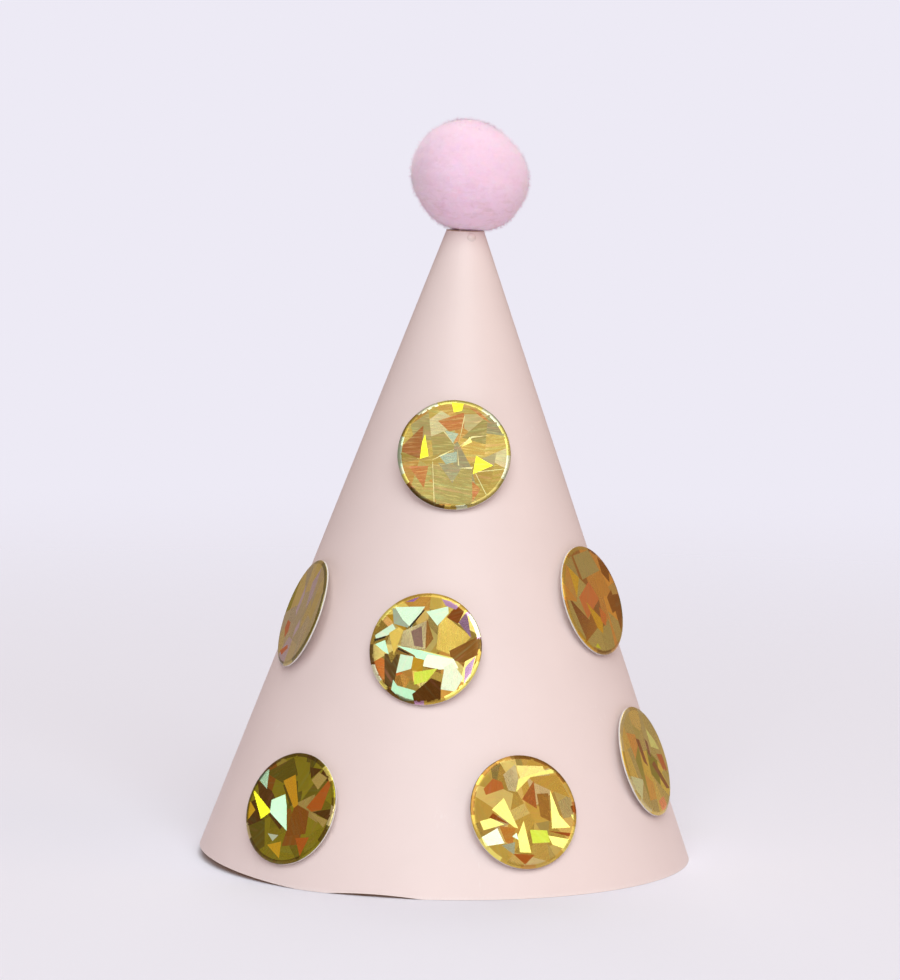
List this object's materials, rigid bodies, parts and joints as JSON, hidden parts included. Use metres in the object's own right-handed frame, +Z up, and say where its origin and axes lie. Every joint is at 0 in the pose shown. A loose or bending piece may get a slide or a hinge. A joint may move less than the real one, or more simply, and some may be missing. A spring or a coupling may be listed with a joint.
{
  "type": "party hat",
  "caption": "Cone party hat of rolled card, lapped and glued up the back, with foil-faced card discs on glue dots and a pompom glued on the cut tip.",
  "frame": {"origin": "middle of the cone's rim, on the surface that the hat stands on", "axes": "+Z up to the tip, -Y to the front of the hat, +X to the right seen from the front"},
  "size_m": [0.1112, 0.1118, 0.1667],
  "materials": {
    "card": "satin",
    "disc_card": "matte",
    "foil": "holographic metallic foil",
    "glue": "clear gloss",
    "pompom": "soft pile"
  },
  "bodies": {
    "root": {"card_cone": "card", "seam_glue": "glue", "tip_glue": "glue", "glue_bead": "glue", "pompom": "pompom", "disc_upper_front": "disc_card", "foil_upper_front": "foil", "dot_upper_front": "glue", "disc_upper_back": "disc_card", "foil_upper_back": "foil", "dot_upper_back": "glue", "disc_middle_left": "disc_card", "foil_middle_left": "foil", "dot_middle_left": "glue", "disc_middle_front": "disc_card", "foil_middle_front": "foil", "dot_middle_front": "glue", "disc_middle_right": "disc_card", "foil_middle_right": "foil", "dot_middle_right": "glue", "disc_middle_back_right": "disc_card", "foil_middle_back_right": "foil", "dot_middle_back_right": "glue", "disc_middle_back_left": "disc_card", "foil_middle_back_left": "foil", "dot_middle_back_left": "glue", "disc_lower_left": "disc_card", "foil_lower_left": "foil", "dot_lower_left": "glue", "disc_lower_front": "disc_card", "foil_lower_front": "foil", "dot_lower_front": "glue", "disc_lower_right": "disc_card", "foil_lower_right": "foil", "dot_lower_right": "glue", "disc_lower_back_right": "disc_card", "foil_lower_back_right": "foil", "dot_lower_back_right": "glue", "disc_lower_back": "disc_card", "foil_lower_back": "foil", "dot_lower_back": "glue", "disc_lower_back_left": "disc_card", "foil_lower_back_left": "foil", "dot_lower_back_left": "glue"}
  },
  "joints": []
}
